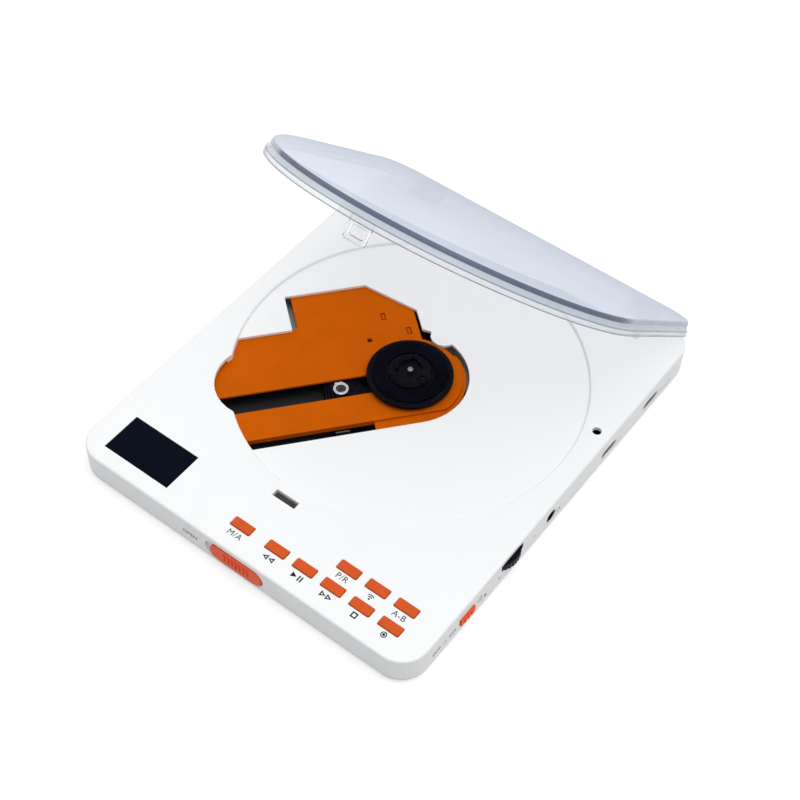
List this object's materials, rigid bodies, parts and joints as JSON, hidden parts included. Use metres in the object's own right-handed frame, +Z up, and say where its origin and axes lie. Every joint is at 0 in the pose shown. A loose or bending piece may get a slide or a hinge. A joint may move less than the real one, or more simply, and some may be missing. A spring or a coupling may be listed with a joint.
{
  "type": "portable disc player",
  "caption": "Flat portable disc player with a clear hinged lid raised over its disc well, turntable, pickup, keys, display and side controls.",
  "frame": {"origin": "centre of the bottom case's flat underside, midway between its sides and between its front and back; the feet reach 1 mm lower", "axes": "+Z up, +Y from the front edge to the hinge, +X to the right seen from the front"},
  "size_m": [0.1418, 0.1741, 0.1115],
  "materials": {
    "case_white": "white, fine texture",
    "base_white": "white, fine texture",
    "lid_clear": "clear acrylic, glossy",
    "orange": "orange red, satin",
    "drive_orange": "burnt orange, satin",
    "black": "black, satin",
    "screen": "near black, glossy",
    "steel": "bare",
    "chromed": "polished",
    "rubber": "black",
    "silicone": "translucent white",
    "board": "green, solder mask",
    "catch_white": "natural white",
    "lens_glass": "coated",
    "cell_foil": "foil pouch"
  },
  "bodies": {
    "case": {"top_case": "case_white", "bottom_case": "base_white", "hinge_pin_left": "steel", "hinge_pin_right": "steel", "screw_front_left": "steel", "screw_front_right": "steel", "screw_back_left": "steel", "screw_back_right": "steel", "foot_front_left": "rubber", "foot_front_right": "rubber", "foot_back_left": "rubber", "foot_back_right": "rubber", "display_window": "screen", "display_module": "black", "key_pad": "silicone", "key_board": "board", "volume_control": "steel", "power_switch": "steel", "headphone_jack": "black", "charge_socket": "steel", "data_socket": "steel", "card_reader": "steel", "main_board": "board", "battery_cell": "cell_foil", "lid_switch": "black", "drive_chassis": "steel", "drive_cover": "drive_orange", "damper_1": "rubber", "damper_2": "rubber", "damper_3": "rubber", "damper_4": "rubber", "spindle_motor": "steel", "guide_rod": "chromed", "sled_motor": "steel"},
    "lid": {"lid": "lid_clear"},
    "key_mode_body": {"key_mode": "orange"},
    "key_sound_body": {"key_sound": "orange"},
    "key_stop_body": {"key_stop": "orange"},
    "key_forward_body": {"key_forward": "orange"},
    "key_play_body": {"key_play": "orange"},
    "key_rewind_body": {"key_rewind": "orange"},
    "key_repeat_body": {"key_repeat": "orange"},
    "key_wireless_body": {"key_wireless": "orange"},
    "key_program_body": {"key_program": "orange"},
    "slider": {"open_slider": "orange"},
    "catch": {"lid_catch": "catch_white"},
    "power": {"power_knob": "orange"},
    "wheel": {"volume_wheel": "black"},
    "table": {"turntable": "black", "disc_seat": "rubber", "spindle_shaft": "chromed"},
    "pickup": {"pickup_sled": "black", "rack_clip": "steel"},
    "lead": {"lead_screw": "steel"},
    "lens_unit": {"lens_holder": "black", "lens": "lens_glass"},
    "lid_plunger_body": {"lid_plunger": "black"},
    "disc_claw_1_body": {"disc_claw_1": "black"},
    "disc_claw_2_body": {"disc_claw_2": "black"},
    "disc_claw_3_body": {"disc_claw_3": "black"}
  },
  "joints": [
    {"name": "lid_hinge", "type": "hinge", "parent": "case", "child": "lid", "pos_m": [0, 0.0817, 0.0095], "axis": [-1, 0, 0], "range_deg": [-42.9, 0], "stiffness_Nm_per_rad": 0.03, "springref_deg": 57.3},
    {"name": "key_mode_press", "type": "slide", "parent": "case", "child": "key_mode_body", "axis": [0, 0, 1], "range_m": [-0.0006, 0], "stiffness_N_per_m": 500, "springref_m": 0.0002},
    {"name": "key_sound_press", "type": "slide", "parent": "case", "child": "key_sound_body", "axis": [0, 0, 1], "range_m": [-0.0006, 0], "stiffness_N_per_m": 500, "springref_m": 0.0002},
    {"name": "key_stop_press", "type": "slide", "parent": "case", "child": "key_stop_body", "axis": [0, 0, 1], "range_m": [-0.0006, 0], "stiffness_N_per_m": 500, "springref_m": 0.0002},
    {"name": "key_forward_press", "type": "slide", "parent": "case", "child": "key_forward_body", "axis": [0, 0, 1], "range_m": [-0.0006, 0], "stiffness_N_per_m": 500, "springref_m": 0.0002},
    {"name": "key_play_press", "type": "slide", "parent": "case", "child": "key_play_body", "axis": [0, 0, 1], "range_m": [-0.0006, 0], "stiffness_N_per_m": 500, "springref_m": 0.0002},
    {"name": "key_rewind_press", "type": "slide", "parent": "case", "child": "key_rewind_body", "axis": [0, 0, 1], "range_m": [-0.0006, 0], "stiffness_N_per_m": 500, "springref_m": 0.0002},
    {"name": "key_repeat_press", "type": "slide", "parent": "case", "child": "key_repeat_body", "axis": [0, 0, 1], "range_m": [-0.0006, 0], "stiffness_N_per_m": 500, "springref_m": 0.0002},
    {"name": "key_wireless_press", "type": "slide", "parent": "case", "child": "key_wireless_body", "axis": [0, 0, 1], "range_m": [-0.0006, 0], "stiffness_N_per_m": 500, "springref_m": 0.0002},
    {"name": "key_program_press", "type": "slide", "parent": "case", "child": "key_program_body", "axis": [0, 0, 1], "range_m": [-0.0006, 0], "stiffness_N_per_m": 500, "springref_m": 0.0002},
    {"name": "slider_slide", "type": "slide", "parent": "case", "child": "slider", "axis": [1, 0, 0], "range_m": [-0.002, 0], "stiffness_N_per_m": 200, "springref_m": 0.001},
    {"name": "catch_slide", "type": "slide", "parent": "case", "child": "catch", "axis": [0, 1, 0], "range_m": [-0.0016, 0]},
    {"name": "power_slide", "type": "slide", "parent": "case", "child": "power", "axis": [0, 1, 0], "range_m": [0, 0.004]},
    {"name": "wheel_turn", "type": "hinge", "parent": "case", "child": "wheel", "pos_m": [0.0633, -0.0296, 0.0073], "axis": [0, 0, 1], "range_deg": [-150, 150]},
    {"name": "table_turn", "type": "hinge", "parent": "case", "child": "table", "pos_m": [0, 0.0087, 0.0093], "axis": [0, 0, 1], "continuous": true},
    {"name": "pickup_slide", "type": "slide", "parent": "case", "child": "pickup", "axis": [-0.6468, -0.7627, 0], "range_m": [-0.0012, 0.0315]},
    {"name": "lead_turn", "type": "hinge", "parent": "case", "child": "lead", "pos_m": [0.00163, -0.00855, 0.0054], "axis": [-0.6468, -0.7627, 0], "range_deg": [-150, 3800]},
    {"name": "lens_focus", "type": "slide", "parent": "pickup", "child": "lens_unit", "axis": [0, 0, 1], "range_m": [-0.0003, 0.0003], "stiffness_N_per_m": 60},
    {"name": "plunger_press", "type": "slide", "parent": "case", "child": "lid_plunger_body", "axis": [0, 0, 1], "range_m": [-0.0005, 0], "stiffness_N_per_m": 120, "springref_m": 0.0002},
    {"name": "disc_claw_1_slide", "type": "slide", "parent": "table", "child": "disc_claw_1_body", "axis": [-0.6468, -0.7627, 0], "range_m": [-0.0004, 0], "stiffness_N_per_m": 300, "springref_m": 0.0001},
    {"name": "disc_claw_2_slide", "type": "slide", "parent": "table", "child": "disc_claw_2_body", "axis": [0.9839, -0.1788, 0], "range_m": [-0.0004, 0], "stiffness_N_per_m": 300, "springref_m": 0.0001},
    {"name": "disc_claw_3_slide", "type": "slide", "parent": "table", "child": "disc_claw_3_body", "axis": [-0.3371, 0.9415, 0], "range_m": [-0.0004, 0], "stiffness_N_per_m": 300, "springref_m": 0.0001}
  ],
  "couplings": [
    {"joint": "catch_slide", "follows": "slider_slide", "ratio": 0.8},
    {"joint": "lead_turn", "follows": "pickup_slide", "rad_per_m": 2094.4}
  ]
}
